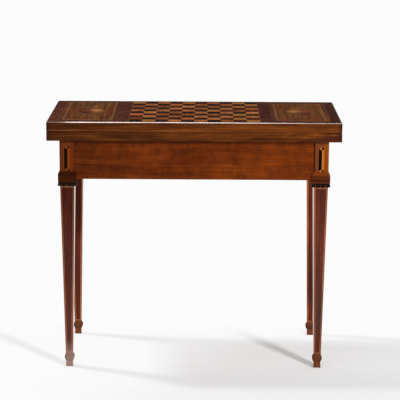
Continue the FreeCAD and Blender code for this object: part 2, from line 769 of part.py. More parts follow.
def mouldings(name, at, notches):
    """The collar under the block and the swelling ankle above the foot."""
    x, y = at
    fascia = box(f"{name}_fascia", (f"{x} - collar_side", f"{x} + collar_side"),
                 (f"{y} - collar_side", f"{y} + collar_side"), ("collar_base", "collar_shoulder"))
    slope = taper(f"{name}_slope", ("collar_shoulder", "collar_top"),
                  ("collar_side", "leg_half"), ("collar_side", "leg_half"), at)
    block = box(f"{name}_core", (f"{x} - leg_half", f"{x} + leg_half"),
                (f"{y} - leg_half", f"{y} + leg_half"), ("collar_base", "frame_top"))
    collar = cut(f"{name}_collar", fuse(f"{name}_collar_solid", [fascia, slope]), [block] + notches)
    return [collar, ankle(f"{name}_ankle", at)]


def ankle(name, at):
    """An eight-sided swelling round the bottom of the shaft, in steps along a half wave."""
    steps = COUNTS["ankle_steps"]
    levels = []
    halves = []
    for step in range(steps + 1):
        rise = math.sin(math.pi * step / steps)
        levels.append(f"ankle_base + (ankle_top - ankle_base) * {step} / {steps}")
        halves.append(f"ankle_neck + {rise:.6f} * (ankle_swell / 2 - ankle_neck)")
    square = []
    diagonal = []
    for number in range(steps):
        height = levels[number:number + 2]
        half = halves[number:number + 2]
        wide = [f"{width} + ankle_cant" for width in half]
        square.append(taper(f"{name}_square_{number}", height, half, half, at))
        diagonal.append(taper(f"{name}_diagonal_{number}", height, wide, wide, at, DIAGONAL))
    swelling = common(f"{name}_octagon",
                      [fuse(f"{name}_square", square), fuse(f"{name}_diagonal", diagonal)])
    return cut(name, swelling, [ankle_post(f"{name}_core", at)])


def ankle_post(name, at):
    """The shaft's own wood inside the swelling."""
    halves = ("ankle_base_width / 2", "shaft_base_half")
    return taper(name, ("ankle_base", "ankle_top"), halves, halves, at)


def guttae(name, at, leg):
    """Small cones hanging in a row from the collar on all four sides."""
    last = COUNTS["gutta_count"] - 1
    cones = []
    for column in range(last + 1):
        for row in range(last + 1):
            if column in (0, last) or row in (0, last):
                x = f"{at[0]} + ({column} - {last} / 2) * gutta_pitch"
                y = f"{at[1]} + ({row} - {last} / 2) * gutta_pitch"
                cones.append(cone(f"{name}_{column}_{row}", "gutta_base_radius", "gutta_neck_radius",
                                  "gutta_height", x, y, "shaft_top"))
    return cut(f"{name}_fitted", group(name, cones), [leg])


def leg_solid(name, at, top):
    """A leg in one length: block, tapered shaft, core of the ankle and flared foot."""
    x, y = at
    block = box(f"{name}_block", (f"{x} - leg_half", f"{x} + leg_half"),
                (f"{y} - leg_half", f"{y} + leg_half"), ("shaft_top", top))
    shaft = shaft_taper(f"{name}_shaft", "0", True, True, at)
    halves = ("foot_width / 2", "ankle_base_width / 2")
    foot = taper(f"{name}_foot", ("0", "ankle_base"), halves, halves, at)
    return fuse(f"{name}_solid", [block, shaft, ankle_post(f"{name}_ankle_post", at), foot])


# A strip's own axes on a block's faces: long side down, left to right as seen, and out of the face.
FACES = {
    "front": FreeCAD.Rotation(-Z, X, -Y),
    "left": FreeCAD.Rotation(-Z, -Y, -X),
    "right": FreeCAD.Rotation(-Z, Y, X),
}


def leg(name, x, y, top, faces, mortises, notches):
    """A leg with its inlays; returns its loose trim for the nodes that hold it."""
    at = (x, y)
    solid = leg_solid(name, at, top)
    lines, strip = shaft_inlays(name, at)
    dark = []
    light = []
    for face in faces:
        shadow, shine = flute(f"{name}_{face}_flute", FACES[face], at)
        dark += shadow
        light += shine
    dark = group(f"{name}_dark", dark)
    light = group(f"{name}_bright", light)
    inlays = group(f"{name}_inlays", [lines, strip, dark, light])
    node(name, cut(f"{name}_let", solid, [inlays] + mortises))
    return {
        "mouldings": mouldings(name, at, notches),
        "guttae": [guttae(f"{name}_guttae", at, solid)],
        "stringing": [lines],
        "centre_strips": [strip],
        "flute_shadows": [dark],
        "flute_lights": [light],
    }


def trim_nodes(name, trims):
    for key in trims[0]:
        pieces = [piece for trim in trims for piece in trim[key]]
        node(f"{name}_{key}", group(f"{name}_{key}_group", pieces))


def front_legs(front_tenons, side_tenons):
    """Fixed legs; their collars stop where the rails and veneers begin."""
    apron = box("apron_space", ("-apron_side", "apron_side"), ("apron_front", "rail_stop"),
                ("rail_base", "frame_top"))
    trims = [leg(f"front_{side}_leg", f"{sign} * leg_side", "front_leg", "frame_top", ["front", side],
                 [front_tenons[side], side_tenons[side]], [apron])
             for side, sign in SIDES.items()]
    trim_nodes("front_legs", trims)


def rear_legs():
    """Swinging legs; their collars clear the fixed frame and meet the fly rails."""
    frame_room = box("frame_room", ("-(apron_side + fly_gap)", "apron_side + fly_gap"),
                     ("apron_front", "rail_stop + fly_gap"), ("rail_base - fly_gap", "frame_top"))
    for side, sign in SIDES.items():
        tongue = fly_rail(side, sign)
        arm = box(f"{side}_fly_room", sided(sign, "knuckle_spread", "leg_side"),
                  ("fly_middle - fly_half", "fly_middle + fly_half"), ("rail_base", "fly_top"))
        trim = leg(f"rear_{side}_leg", f"{sign} * leg_side", "rear_leg", "fly_top", [side],
                   [tongue], [frame_room, arm])
        trim_nodes(f"rear_{side}", [trim])


def build():
    top_screws = fixings()
    lower_leaf(top_screws)
    upper_leaf()
    hinge_pins()
    board()
    crossbanding()
    panels()
    front_tenons = front_rail()
    back = inner_back_rail()
    side_tenons = {}
    for side, sign in SIDES.items():
        side_tenons[side], rail = side_rail(side, sign)
        node(f"{side}_side_rail", cut(f"{side}_rail_housed", rail, [back]))
    screws = rail_screws()
    node("inner_back_rail", cut("inner_back_drilled", back, [screws]))
    node("centre_back_rail", cut("centre_back_drilled", centre_back_rail(), [screws]))
    apron_veneers()
    knuckle_pins()
    front_legs(front_tenons, side_tenons)
    rear_legs()


fill_sheet("Sizes", {name: str(value) for name, value in {**SIZES, **COUNTS}.items()})
fill_sheet("Layout", {name: "=" + formula(text) for name, text in LAYOUT.items()})
build()
document.recompute()

for item in document.Objects:
    if "Invalid" in item.State or "Error" in item.State:
        raise RuntimeError(f"{item.Name} did not build: {item.State}")
for item in nodes:
    if item.Shape.isNull() or not item.Shape.isValid() or not item.Shape.Solids:
        raise RuntimeError(f"{item.Label} has no valid solid")

os.makedirs("parts", exist_ok=True)
for item in nodes:
    item.Shape.exportStep(os.path.join("parts", f"{item.Label}.step"))
print(f"{len(nodes)} nodes, {sum(len(item.Shape.Solids) for item in nodes)} solids")
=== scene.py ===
import math
from collections import namedtuple

import bmesh
import bpy
from mathutils import Matrix, Vector

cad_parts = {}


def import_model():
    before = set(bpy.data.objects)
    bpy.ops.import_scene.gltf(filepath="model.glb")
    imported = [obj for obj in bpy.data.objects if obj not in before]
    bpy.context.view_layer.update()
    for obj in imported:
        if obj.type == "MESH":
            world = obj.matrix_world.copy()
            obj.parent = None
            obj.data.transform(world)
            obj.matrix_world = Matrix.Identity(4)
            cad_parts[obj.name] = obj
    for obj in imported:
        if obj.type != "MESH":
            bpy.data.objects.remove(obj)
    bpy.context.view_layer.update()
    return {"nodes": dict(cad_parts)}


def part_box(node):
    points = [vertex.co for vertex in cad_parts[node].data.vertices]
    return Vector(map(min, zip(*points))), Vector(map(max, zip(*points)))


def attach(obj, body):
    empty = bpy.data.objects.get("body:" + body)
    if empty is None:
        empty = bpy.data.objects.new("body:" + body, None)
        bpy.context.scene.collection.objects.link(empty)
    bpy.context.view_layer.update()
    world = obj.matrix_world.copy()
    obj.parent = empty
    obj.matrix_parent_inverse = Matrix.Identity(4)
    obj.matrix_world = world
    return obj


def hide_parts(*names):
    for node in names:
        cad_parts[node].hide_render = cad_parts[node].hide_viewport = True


# A fold-over games table: its nodes get woods, metals and baize, and stand on a pale floor.
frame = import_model()
scene = bpy.context.scene


# ---- places on the closed table, in metres: +Z is up, the front faces -Y, the floor is at 0 ----

Box = namedtuple("Box", "low middle high")


def box_of(node):
    """A node's lowest corner, middle and highest corner."""
    low, high = (Vector(corner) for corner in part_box(node))
    return Box(low, (low + high) / 2, high)


upper_leaf = box_of("upper_leaf_lipping")
lower_leaf = box_of("lower_leaf_lipping")
front_leg = box_of("front_right_leg")
rear_leg = box_of("rear_right_leg")
panels = box_of("panel_borders")
cones = box_of("front_legs_guttae")

TABLE_TOP = upper_leaf.high.z
SEAM = (upper_leaf.low.z + lower_leaf.high.z) / 2
FRAME_TOP = lower_leaf.low.z
APRON_BASE = box_of("apron_veneers").low.z
COLLAR_TOP = box_of("front_legs_mouldings").high.z
COLLAR_SHOULDER = COLLAR_TOP - 0.010
COLLAR_BASE = cones.high.z
SHAFT_TOP = cones.low.z

LEAF_SIDE = upper_leaf.high.x
LEAF_FRONT = upper_leaf.low.y
LEAF_MIDDLE = upper_leaf.middle.y
LEAF_BACK = upper_leaf.high.y
CORE_SIDE = box_of("upper_leaf_core").high.x

SQUARES_ACROSS = 10
BOARD_SIDE = box_of("board_dark_squares").high.x
SQUARE = 2 * BOARD_SIDE / SQUARES_ACROSS

BAND_BESIDE_BOARD = 0.035
PANEL_INNER_SIDE = box_of("board_stringing").high.x + BAND_BESIDE_BOARD
PANEL_OUTER_SIDE = panels.high.x
PANEL_MIDDLE = (PANEL_INNER_SIDE + PANEL_OUTER_SIDE) / 2
PANEL_HALF_DEPTH = (panels.high.y - panels.low.y) / 2

LEG_SIDE = front_leg.middle.x
FRONT_LEGS = front_leg.middle.y
REAR_LEGS = rear_leg.middle.y

# How far to the right of a leg's middle a flute's light strip starts, and where it is brownest.
FLUTE_SPLIT = 0.0014
FLUTE_BROWNEST = 0.0115

# The front faces of the legs lie in front of the first limit, and their collars above the second.
FRONT_FACES = front_leg.low.y + 0.0079
MID_SHAFT = 0.3

# Spans over which the wood changes.
END_TO_END = (-0.40, 0.40)
LEG_TO_LEG = (-0.38, 0.38)
FRONT_TO_REAR = (-0.02, 0.02)
DOWN_THE_SHAFT = (0.55, 0.15)


# ---- node graphs ----

def linear(red, green, blue):
    """An 8-bit display colour as linear light."""
    def channel(value):
        value /= 255
        return value / 12.92 if value <= 0.04045 else ((value + 0.055) / 1.055) ** 2.4
    return (channel(red), channel(green), channel(blue), 1)


def grey(level):
    """A grey from its linear light."""
    return (level, level, level, 1)


def add(tree, kind, *inputs, **settings):
    """A node; each input is a socket to link, a value to set, or None to leave."""
    made = tree.nodes.new("ShaderNode" + kind)
    for key, value in settings.items():
        setattr(made, key, value)
    for socket, value in zip(made.inputs, inputs):
        connect(tree, socket, value)
    return made


def connect(tree, socket, value):
    """Link a socket, set a value, or leave the socket as it is for None."""
    if isinstance(value, bpy.types.NodeSocket):
        tree.links.new(value, socket)
    elif value is not None:
        socket.default_value = value


def math_node(tree, operation, *inputs):
    return add(tree, "Math", *inputs, operation=operation).outputs[0]


def difference(tree, value, other):
    return math_node(tree, "SUBTRACT", value, other)


def times_plus(tree, value, factor, addend):
    return math_node(tree, "MULTIPLY_ADD", value, factor, addend)


def product(tree, value, *others):
    for other in others:
        value = math_node(tree, "MULTIPLY", value, other)
    return value


def largest(tree, value, *others):
    for other in others:
        value = math_node(tree, "MAXIMUM", value, other)
    return value


def magnitude(tree, value):
    return math_node(tree, "ABSOLUTE", value)


def beyond(tree, value, limit):
    """1 where the value is over the limit, and 0 elsewhere."""
    return math_node(tree, "GREATER_THAN", value, limit)


def below(tree, value, limit):
    """1 where the value is under the limit, and 0 elsewhere."""
    return math_node(tree, "LESS_THAN", value, limit)


def vector_math(tree, operation, *inputs):
    return add(tree, "VectorMath", *inputs, operation=operation).outputs[0]


def scaled(tree, vector, amount):
    """A place times a number, or a colour made lighter or darker by a factor."""
    return vector_math(tree, "SCALE", vector, None, None, amount)


def split(tree, vector):
    return add(tree, "SeparateXYZ", vector).outputs


def join(tree, x, y, z):
    return add(tree, "CombineXYZ", x, y, z).outputs[0]


def remap(tree, value, span, to=(0.0, 1.0)):
    """A number that moves evenly between the two in to, while the value moves through the span."""
    return add(tree, "MapRange", value, *span, *to).outputs[0]


def fade(tree, value, span, to=(0.0, 1.0)):
    """Like remap, with a gentle start and end."""
    return add(tree, "MapRange", value, *span, *to, interpolation_type="SMOOTHSTEP").outputs[0]


def mix(tree, share, colour, other):
    """Two colours mixed, with the share of the other."""
    made = tree.nodes.new("ShaderNodeMix")
    made.data_type = "RGBA"
    connect(tree, made.inputs[0], share)
    connect(tree, made.inputs[6], colour)
    connect(tree, made.inputs[7], other)
    return made.outputs[2]


def mix_vector(tree, share, vector, other):
    made = tree.nodes.new("ShaderNodeMix")
    made.data_type = "VECTOR"
    connect(tree, made.inputs[0], share)
    connect(tree, made.inputs[4], vector)
    connect(tree, made.inputs[5], other)
    return made.outputs[1]


def ramp(tree, value, *stops):
    """A colour ramp; each stop is a place on it and a colour."""
    made = add(tree, "ValToRGB", value)
    elements = made.color_ramp.elements
    while len(elements) < len(stops):
        elements.new(0.5)
    for element, (place, colour) in zip(elements, stops):
        element.position = place
        element.color = colour
    return made.outputs[0]


def noise(tree, vector, scale, detail=3.0, rough=0.5, distortion=0.0):
    made = add(tree, "TexNoise", vector)
    made.inputs["Scale"].default_value = scale
    made.inputs["Detail"].default_value = detail
    made.inputs["Roughness"].default_value = rough
    made.inputs["Distortion"].default_value = distortion
    return made.outputs[0]


def random_number(tree, cell):
    return add(tree, "TexWhiteNoise", cell).outputs[0]


def random_vector(tree, cell):
    return add(tree, "TexWhiteNoise", cell).outputs[1]


# ---- where a place is on the table ----

def x_of(tree, place):
    return split(tree, place)[0]


def y_of(tree, place):
    return split(tree, place)[1]


def z_of(tree, place):
    return split(tree, place)[2]


def side_of(tree, place):
    """How far a place is from the table's middle, to either side."""
    return magnitude(tree, x_of(tree, place))


def depth_from_middle(tree, place):
    """How far a place is from the middle line of the leaves, to the front or the back."""
    return magnitude(tree, difference(tree, y_of(tree, place), LEAF_MIDDLE))


def leg_place(tree, place):
    """How far a place is to the right of its leg's middle, seen from outside that face."""
    x, y, _ = split(tree, place)
    side = math_node(tree, "SIGN", x)
    row = times_plus(tree, beyond(tree, y, 0.0), REAR_LEGS - FRONT_LEGS, FRONT_LEGS)
    from_front = difference(tree, x, product(tree, side, LEG_SIDE))
    from_side = product(tree, side, difference(tree, y, row))
    normal = tree.nodes.new("ShaderNodeTexCoord").outputs["Normal"]
    faces_sideways = beyond(tree, magnitude(tree, x_of(tree, normal)), 0.5)
    return add(tree, "Mix", faces_sideways, None, from_front, from_side).outputs[0]


# ---- surfaces ----

# A specular level, an index of refraction, the roughness of the smoothest and the roughest parts,
# and the weight of a clear coat.
Finish = namedtuple("Finish", "specular refraction smoothest roughest coat", defaults=(0.0,))
RAW = Finish(0.02, 1.5, 0.60, 0.80)
PLANED = Finish(0.02, 1.5, 0.55, 0.75)
DULL = Finish(0.0, 1.5, 0.36, 0.55)
MATT = Finish(0.02, 1.5, 0.36, 0.55)
WAXED = Finish(0.05, 1.5, 0.36, 0.55)
EBONISED = Finish(0.12, 1.5, 0.30, 0.45)
POLISHED = Finish(0.5, 1.08, 0.04, 0.10, coat=1.0)
COAT_REFRACTION = 1.10
COAT_ROUGHNESS = 0.03
RELIEF_STRENGTH = 0.5


def start_material(name):
    """A new material with its node tree, its surface shader and the place on the closed table."""
    material = bpy.data.materials.new(name)
    material.use_nodes = True
    tree = material.node_tree
    tree.nodes.clear()
    output = tree.nodes.new("ShaderNodeOutputMaterial")
    surface = tree.nodes.new("ShaderNodeBsdfPrincipled")
    tree.links.new(surface.outputs[0], output.inputs[0])
    place = tree.nodes.new("ShaderNodeTexCoord").outputs["Object"]
    return material, tree, surface, place


def finish_surface(tree, surface, colour, rough, specular=0.5, refraction=1.5, coat=0.0):
    connect(tree, surface.inputs["Base Color"], colour)
    connect(tree, surface.inputs["Roughness"], rough)
    surface.inputs["Specular IOR Level"].default_value = specular
    surface.inputs["IOR"].default_value = refraction
    surface.inputs["Coat Weight"].default_value = coat
    surface.inputs["Coat IOR"].default_value = COAT_REFRACTION
    surface.inputs["Coat Roughness"].default_value = COAT_ROUGHNESS


def add_relief(tree, surface, height, depth):
    """Relief too small for the mesh; depth is in metres."""
    bump = tree.nodes.new("ShaderNodeBump")
    bump.inputs["Strength"].default_value = RELIEF_STRENGTH
    bump.inputs["Distance"].default_value = depth
    connect(tree, bump.inputs["Height"], height)
    tree.links.new(bump.outputs[0], surface.inputs["Normal"])


# ---- wood ----

LINES_SHARE = 0.34
PORE_SHARE = 0.45
PORE_DARKNESS = 0.35
PORE_DEPTH = 0.00012
UNPOLISHED = 0.85


def grain_space(tree, place, grain):
    """The place with its x along the grain; grain is an axis, or a mask that picks Y over X."""
    x, y, z = split(tree, place)
    if grain == "X":
        return place
    if grain == "Y":
        return join(tree, y, x, z)
    if grain == "Z":
        return join(tree, z, x, y)
    return mix_vector(tree, grain, place, join(tree, y, x, z))


def wood_layers(tree, space, curl, lines_across):
    """Broad figure, growth lines, streaks and pores, each from 0 to 1."""
    def layer(along, across, detail, distortion=0.0):
        stretched = vector_math(tree, "MULTIPLY", space, (along, across, across))
        return noise(tree, stretched, scale=1.0, detail=detail, rough=0.55, distortion=distortion)
    broad = layer(along=2.2, across=16, detail=3, distortion=1.0 + curl)
    lines = layer(along=4, across=lines_across, detail=4, distortion=0.4)
    streaks = layer(along=18, across=900, detail=2)
    pores = remap(tree, layer(along=70, across=1500, detail=1), (0.60, 0.74))
    return broad, lines, streaks, pores


def figure(tree, broad, lines, streaks, streak_share):
    """The lightness of the wood's figure, from its layers."""
    fine = times_plus(tree, lines, LINES_SHARE, product(tree, streaks, streak_share))
    return times_plus(tree, broad, 1.0 - LINES_SHARE - streak_share, fine)


def blotched(tree, patches, colour, blotch, strength):
    """Broad patches of another colour."""
    share = fade(tree, patches, (0.45, 0.70), to=(0.0, strength))
    return mix(tree, share, colour, linear(*blotch))


def wood(name, shades, grain, finish, curl=0.0, lines_across=110, streak_share=0.16, offset=(0, 0, 0),
         tone=None, blotch=None, change=None, bare=None):
    """A wood from its dark, middle and light shades, with its grain along an axis or as a mask says.

    curl, lines_across and streak_share shape its figure, and blotch is the colour and the strength of
    its patches. offset moves the figure, everywhere alike or by place. By place, tone shifts its
    lightness, change repaints the result, and bare masks what was left without polish."""
    material, tree, surface, place = start_material(name)
    if callable(grain):
        grain = grain(tree, place)
    if callable(offset):
        offset = offset(tree, place)
    space = vector_math(tree, "ADD", grain_space(tree, place, grain), offset)
    broad, lines, streaks, pores = wood_layers(tree, space, curl, lines_across)
    lightness = figure(tree, broad, lines, streaks, streak_share)
    if tone:
        lightness = math_node(tree, "ADD", lightness, tone(tree, place))
    dark, middle, light = (linear(*shade) for shade in shades)
    colour = ramp(tree, lightness, (0.33, dark), (0.50, middle), (0.68, light))
    patches = noise(tree, place, scale=11.0, rough=0.6)
    if blotch:
        colour = blotched(tree, patches, colour, *blotch)
    pore_colour = linear(*[channel * PORE_DARKNESS for channel in shades[0]])
    colour = mix(tree, product(tree, pores, PORE_SHARE), colour, pore_colour)
    if change:
        colour = change(tree, place, colour)
    uneven = times_plus(tree, streaks, 0.4, patches)
    rough = remap(tree, uneven, (0.35, 1.0), to=(finish.smoothest, finish.roughest))
    if bare:
        rough = largest(tree, rough, product(tree, bare(tree, place), UNPOLISHED))
    finish_surface(tree, surface, colour, rough, finish.specular, finish.refraction, finish.coat)
    add_relief(tree, surface, difference(tree, product(tree, streaks, 0.5), pores), PORE_DEPTH)
    return material


# ---- how the grain and the figure lie ----

# Jumps of the figure: to another part of the same log, and the largest between pieces and squares.
LOG_JUMP = (3.1, 0.7, 1.9)
PIECE_JUMP = 7.0
SQUARE_JUMP = 5.0

# What tells the random numbers of the squares from one another.
TONE_DRAW = (3.0, 8.0, 1.0)
TINT_DRAW = (11.0, 2.0, 5.0)

# The share of the tint in a tinted square, in the marquetry and in the flutes.
SQUARE_TINT = 0.75
INLAY_TINT = 0.85
FLUTE_TINT = 0.97


def apron_grain(tree, place):
    """Along each side of the frame: along Y on the veneers of the ends."""
    return beyond(tree, side_of(tree, place), LEG_SIDE)


def crossband_grain(tree, place):
    """Across the band: along Y in the bands at the front and the back."""
    return beyond(tree, depth_from_middle(tree, place), PANEL_HALF_DEPTH)


def lipping_grain(tree, place):
    """Along the lipping: along Y at the two ends."""
    return beyond(tree, side_of(tree, place), CORE_SIDE + 0.0002)


def piece_offset(size):
    """A jump of the figure from one piece of veneer to the next, on a lattice of that size."""
    def offset(tree, place):
        cell = vector_math(tree, "FLOOR", vector_math(tree, "DIVIDE", place, (size, size, 1.0)))
        return scaled(tree, random_vector(tree, cell), PIECE_JUMP)
    return offset


def square_cell(tree, place):
    """The number of the board's square that a place is on."""
    corner = (-BOARD_SIDE, LEAF_MIDDLE - BOARD_SIDE, 0)
    from_corner = vector_math(tree, "SUBTRACT", place, corner)
    return vector_math(tree, "FLOOR", vector_math(tree, "DIVIDE", from_corner, (SQUARE, SQUARE, 10.0)))


def square_draw(tree, place, draw):
    """A random number for each square, from 0 to 1; draw tells one such number from another."""
    return random_number(tree, vector_math(tree, "ADD", square_cell(tree, place), draw))


def square_offset(tree, place):
    """A jump of the figure from each square to the next."""
    return scaled(tree, random_vector(tree, square_cell(tree, place)), SQUARE_JUMP)


def square_tone(amount):
    """Some squares are lighter than others, over a range of that amount."""
    def tone(tree, place):
        shift = difference(tree, square_draw(tree, place, TONE_DRAW), 0.5)
        return product(tree, shift, amount)
    return tone


def square_tint(tints):
    """Some squares are cut from a redder or yellower sheet; each tint starts at a limit of the draw."""
    def change(tree, place, colour):
        pick = square_draw(tree, place, TINT_DRAW)
        for limit, tint in tints:
            share = product(tree, beyond(tree, pick, limit), SQUARE_TINT)
            colour = mix(tree, share, colour, linear(*tint))
        return colour
    return change


# ---- how colours change over the leaves and the apron ----

def in_turn(*changes):
    """Several changes, one after the other."""
    def change(tree, place, colour):
        for each in changes:
            colour = each(tree, place, colour)
        return colour
    return change


def painted_light_end_to_end(left, right):
    """Painted light: the wood is lighter towards one end of the table, by factors of its linear colour."""
    def change(tree, place, colour):
        return scaled(tree, colour, remap(tree, x_of(tree, place), END_TO_END, to=(left, right)))
    return change


def mottled(tree, place, colour):
    """Small cloudy figure across the grain."""
    stretched = vector_math(tree, "MULTIPLY", place, (38, 38, 20))
    cloud = noise(tree, stretched, scale=1.0, detail=4.0, rough=0.6, distortion=0.6)
    return scaled(tree, colour, remap(tree, cloud, (0.3, 0.7), to=(0.74, 1.26)))


def painted_highlight_on_arris(tree, place, colour):
    """A painted highlight on the front arris of the upper leaf, pale and patchy, less so to the right."""
    arris_glint = linear(255, 236, 226)
    x, y, z = split(tree, place)
    lowest = remap(tree, x, (-0.36, -0.12), to=(TABLE_TOP - 0.0030, TABLE_TOP - 0.0019))
    near_top = fade(tree, difference(tree, z, lowest), (0.0, 0.0008))
    widening = remap(tree, x, (-0.25, -0.05), to=(0.0, 0.0015))
    arris = (LEAF_FRONT + 0.001675, LEAF_FRONT + 0.002475)
    in_front = fade(tree, difference(tree, y, widening), arris, to=(1.0, 0.08))
    from_left_end = fade(tree, x, (-0.405, -0.350), to=(0.15, 1.0))
    to_right_end = fade(tree, x, (0.05, 0.42), to=(1.0, 0.40))
    patches = noise(tree, place, scale=30.0, detail=4.0, rough=0.6)
    patchy = remap(tree, patches, (0.30, 0.50), to=(0.80, 1.0))
    share = product(tree, near_top, in_front, from_left_end, to_right_end, patchy)
    return mix(tree, share, colour, arris_glint)


def highlight_and_grime_at_seam(tree, place, colour):
    """A painted highlight along the upper leaf's lower arris, and grime in the seam under it."""
    seam_glint = linear(168, 104, 66)
    dirt_and_shade = linear(22, 9, 4)
    height = difference(tree, z_of(tree, place), SEAM)
    above_seam = fade(tree, height, (0.0004, 0.0018))
    under_edge = fade(tree, height, (0.0030, 0.0055), to=(1.0, 0.0))
    strength = fade(tree, x_of(tree, place), (-0.38, -0.33), to=(0.26, 0.11))
    colour = mix(tree, product(tree, above_seam, under_edge, strength), colour, seam_glint)
    in_seam = fade(tree, magnitude(tree, height), (0.0004, 0.0020), to=(0.25, 0.0))
    return mix(tree, in_seam, colour, dirt_and_shade)


def darker_ends(tree, place, colour):
    """The leaves are darker towards their end corners."""
    dirt_and_shade = linear(34, 16, 13)
    near_end = fade(tree, side_of(tree, place), (LEAF_SIDE - 0.017, LEAF_SIDE - 0.002), to=(0.0, 0.6))
    return mix(tree, near_end, colour, dirt_and_shade)


def paler_below(tree, place, colour):
    """The upper leaf's edge is paler towards the seam, and darkest at its left end."""
    x, _, z = split(tree, place)
    colour = scaled(tree, colour, remap(tree, z, (TABLE_TOP - 0.005, SEAM + 0.003), to=(0.84, 1.20)))
    return scaled(tree, colour, remap(tree, x, (-0.40, -0.33), to=(0.76, 1.0)))


def dark_heart(tree, place, colour):
    """Dark heartwood rises across the right end of the lower leaf's edge, which is paler by the seam."""
    heartwood = linear(62, 22, 14)
    x, _, z = split(tree, place)
    colour = scaled(tree, colour, fade(tree, z, (FRAME_TOP + 0.010, SEAM - 0.004), to=(0.98, 1.34)))
    boundary = remap(tree, x, (0.280, 0.430), to=(FRAME_TOP + 0.001, FRAME_TOP + 0.0225))
    waver = remap(tree, noise(tree, place, scale=45.0), (0.3, 0.7), to=(-0.002, 0.002))
    depth = math_node(tree, "ADD", difference(tree, boundary, z), waver)
    return mix(tree, fade(tree, depth, (-0.0015, 0.0045), to=(0.0, 0.78)), colour, heartwood)


def dark_back(tree, place, colour):
    """Dirt and old polish along the back of the top."""
    dirt_and_shade = linear(30, 14, 10)
    near_back = fade(tree, y_of(tree, place), (LEAF_BACK - 0.0211, LEAF_BACK - 0.0041), to=(0.0, 0.75))
    on_top = fade(tree, z_of(tree, place), (TABLE_TOP - 0.0025, TABLE_TOP - 0.0010))
    return mix(tree, product(tree, near_back, on_top), colour, dirt_and_shade)


def darker_inwards(tree, place, colour):
    """The border is darker beside the board than at the table's ends."""
    across_panel = (PANEL_INNER_SIDE + 0.0197, PANEL_OUTER_SIDE - 0.015)
    return scaled(tree, colour, remap(tree, side_of(tree, place), across_panel, to=(0.72, 1.12)))


def sand_shaded(inner, outer):
    """Inlay toned from one colour beside the board to another at the table's end, and dull in the husks."""
    def change(tree, place, colour):
        dull = linear(112, 68, 32)
        x, y, _ = split(tree, place)
        outwards = fade(tree, side_of(tree, place), (PANEL_MIDDLE - 0.018, PANEL_MIDDLE + 0.014))
        tint = mix(tree, outwards, linear(*inner), linear(*outer))
        right_panel = times_plus(tree, outwards, 0.55, 0.80)
        tint = scaled(tree, tint, remap(tree, x, (-0.1, 0.1), to=(0.95, right_panel)))
        front_to_back = (LEAF_MIDDLE - 0.0201, LEAF_MIDDLE + 0.0139)
        tint = scaled(tree, tint, fade(tree, y, front_to_back, to=(0.45, 1.05)))
        in_husk = fade(tree, depth_from_middle(tree, place), (0.052, 0.060), to=(0.0, 0.85))
        return mix(tree, INLAY_TINT, colour, mix(tree, in_husk, tint, dull))
    return change


def painted_shadow_under_leaf(tree, place, colour):
    """Painted shadow along the tops of the apron and the legs, under the overhanging leaf."""
    dirt_and_shade = linear(26, 9, 3)
    near_leaf = fade(tree, z_of(tree, place), (FRAME_TOP - 0.0040, FRAME_TOP - 0.0010), to=(0.0, 0.75))
    return mix(tree, near_leaf, colour, dirt_and_shade)


# ---- how colours change over the legs ----

def painted_light_and_bloom_on_legs(tree, place, colour):
    """Painted light lightens the legs, more on the right and at the back, and low on the left; a pale bloom
    lies over it.
    """
    bloom_colour = linear(190, 170, 165)
    x, y, z = split(tree, place)
    low = remap(tree, z, DOWN_THE_SHAFT)
    at_ankle = remap(tree, x, LEG_TO_LEG, to=(1.0, 0.3))
    exposed = remap(tree, z, (0.085, 0.125), to=(at_ankle, 1.0))
    gain = painted_light_on_legs(tree, x, y, z, low, exposed)
    bloom = leg_bloom(tree, x, y, z, low, exposed)
    return mix(tree, bloom, scaled(tree, colour, gain), bloom_colour)


def painted_light_on_legs(tree, x, y, z, low, exposed):
    """Painted light, a factor of linear colour; low grows downwards, exposed is less at the right ankles.
    """
    across = remap(tree, x, LEG_TO_LEG, to=(0.82, 1.50))
    low_on_left = remap(tree, x, LEG_TO_LEG, to=(0.66, 0.0))
    low_on_right = product(tree, low, exposed, remap(tree, x, LEG_TO_LEG, to=(0.04, -0.42)))
    downwards = times_plus(tree, low, math_node(tree, "ADD", low_on_left, low_on_right), 1.0)
    rear_legs = times_plus(tree, low, -0.50, 1.60)
    rearwards = remap(tree, y, FRONT_TO_REAR, to=(1.0, rear_legs))
    block = fade(tree, z, (COLLAR_TOP - 0.025, COLLAR_TOP - 0.008), to=(1.0, 0.9))
    return product(tree, across, downwards, rearwards, block)


def leg_bloom(tree, x, y, z, low, exposed):
    """The share of a pale bloom in the polish, below the collars and mostly on the front legs."""
    strength = times_plus(tree, low, 0.036, remap(tree, x, LEG_TO_LEG, to=(0.0, 0.013)))
    on_shaft = remap(tree, z, (COLLAR_BASE - 0.014, COLLAR_BASE + 0.001), to=(1.0, 0.0))
    rearwards = remap(tree, y, FRONT_TO_REAR, to=(1.0, 0.3))
    return product(tree, strength, rearwards, on_shaft, exposed)


def end_grain(tree, place):
    """The sawn tops of the legs and the soles of their feet."""
    z = z_of(tree, place)
    return largest(tree, beyond(tree, z, FRAME_TOP - 0.0003), below(tree, z, 0.0003))


def block_joint(tree, place, colour):
    """A dark open joint where the apron meets the corner blocks."""
    shadow = linear(60, 14, 2)
    x, y, z = split(tree, place)
    near_apron = fade(tree, side_of(tree, place), (LEG_SIDE - 0.0205, LEG_SIDE - 0.0155), to=(1.0, 0.0))
    opening = remap(tree, x, (-0.3, 0.3), to=(0.25, 1.0))
    share = product(tree, near_apron, opening, below(tree, y, FRONT_FACES), beyond(tree, z, APRON_BASE))
    return mix(tree, share, colour, shadow)


